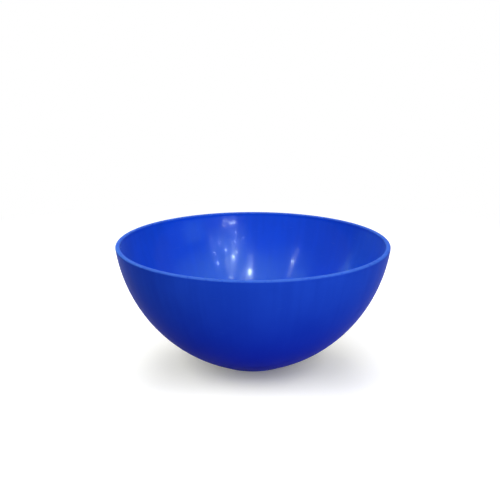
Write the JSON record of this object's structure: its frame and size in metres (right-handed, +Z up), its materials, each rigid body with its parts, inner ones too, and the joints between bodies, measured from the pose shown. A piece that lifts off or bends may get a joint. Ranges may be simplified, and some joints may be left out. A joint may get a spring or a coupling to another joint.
{
  "type": "hair color bowl",
  "caption": "Plain round mixing bowl in glossy blue plastic, with a deep evenly curved wall, a rounded rim and a low foot ring, for mixing and holding hair colour.",
  "frame": {"origin": "on the table, under the middle of the foot ring", "axes": "+Z up along the bowl's axis of revolution, +X and +Y along the table"},
  "size_m": [0.14, 0.14, 0.063],
  "materials": {
    "blue_plastic": "glossy inside, satin outside"
  },
  "bodies": {
    "root": {"bowl": "blue_plastic"}
  },
  "joints": []
}
